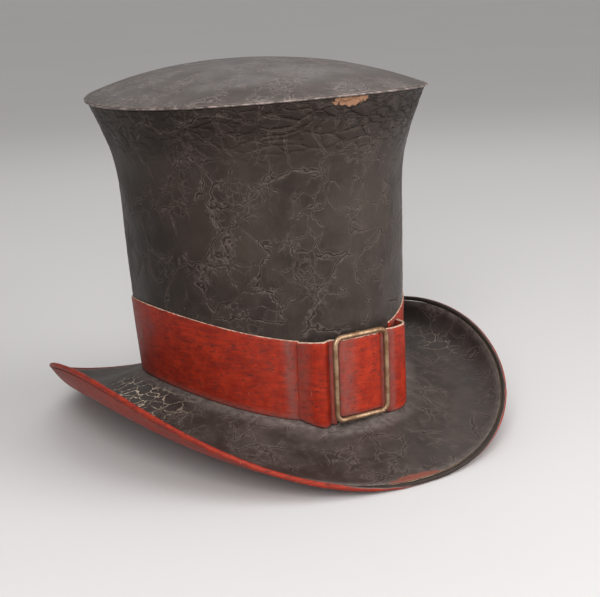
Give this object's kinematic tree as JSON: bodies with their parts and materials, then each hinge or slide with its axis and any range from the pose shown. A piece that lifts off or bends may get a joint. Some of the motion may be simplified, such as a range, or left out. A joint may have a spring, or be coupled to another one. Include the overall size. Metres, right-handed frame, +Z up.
{
  "type": "top hat",
  "caption": "Rigid painted top hat with a bell-shaped crown, domed tip, curled oval brim, wide red band and a slide buckle at the front.",
  "frame": {"origin": "under the middle of the hat, on the surface that its brim rests on", "axes": "+Z up, -Y towards the front (the buckle), +X towards the wearer's left"},
  "size_m": [0.2962, 0.3534, 0.2542],
  "materials": {
    "black_paint": "dark brown-black glossy paint over leather, crazed",
    "worn_edge": "paint worn back to pale leather along the tip's edge",
    "board": "stiff brown pasteboard, unpainted",
    "lining_cloth": "thin plain cotton",
    "red_paint": "red paint over leather, satin, worn and dusty",
    "steel_wire": "drawn wire",
    "sweat_leather": "tan sheepskin, smooth",
    "thread": "waxed linen thread",
    "old_brass": "old gilt brass with dark patina"
  },
  "bodies": {
    "hat": {"crown_side": "black_paint", "crown_tip": "black_paint", "tip_welt": "worn_edge", "crown_foundation": "board", "tip_foundation": "board", "lining_side": "lining_cloth", "lining_tip": "lining_cloth", "back_seam_strip": "board", "brim_top": "black_paint", "brim_board": "board", "brim_underside": "red_paint", "brim_edge_wire": "steel_wire", "brim_binding": "red_paint", "brim_collar": "board", "sweatband": "sweat_leather", "sweatband_welt": "sweat_leather", "sweatband_stitches": "thread", "hat_band": "red_paint", "buckle_strap": "red_paint"},
    "buckle": {"buckle_frame": "old_brass", "buckle_bar": "old_brass"}
  },
  "joints": [
    {"name": "buckle_rock", "type": "hinge", "parent": "hat", "child": "buckle", "pos_m": [0, -0.10985, 0.05566], "axis": [0, 0, 1], "range_deg": [-4, 4]}
  ]
}
